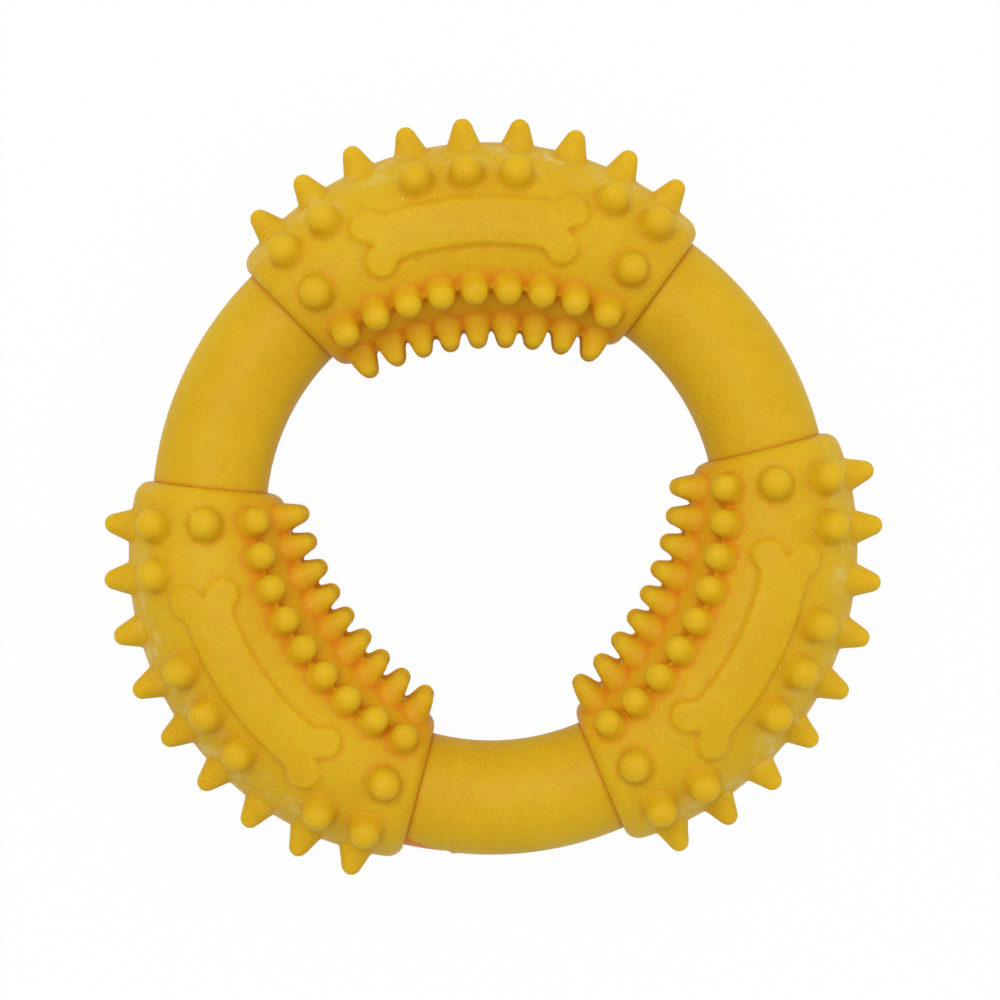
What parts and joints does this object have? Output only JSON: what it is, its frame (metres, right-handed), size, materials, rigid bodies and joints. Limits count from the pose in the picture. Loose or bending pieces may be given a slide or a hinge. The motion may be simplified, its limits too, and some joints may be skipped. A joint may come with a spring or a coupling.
{
  "type": "rubber chew toy",
  "caption": "Solid rubber chew ring for a dog, with thick barrel-shaped sleeves that carry rounded cones and raised bones.",
  "frame": {"origin": "centre of the ring, on the parting plane half way through its thickness", "axes": "+Z along the ring's axis, out of the face seen in the picture; +Y towards the middle of the top sleeve; +X to the right in the picture"},
  "size_m": [0.1238, 0.1182, 0.0334],
  "materials": {
    "ring_rubber": "satin yellow rubber",
    "sleeve_rubber": "yellow rubber with a fine grain"
  },
  "bodies": {
    "root": {"core_ring": "ring_rubber", "top_sleeve": "sleeve_rubber", "left_sleeve": "sleeve_rubber", "right_sleeve": "sleeve_rubber"}
  },
  "joints": []
}
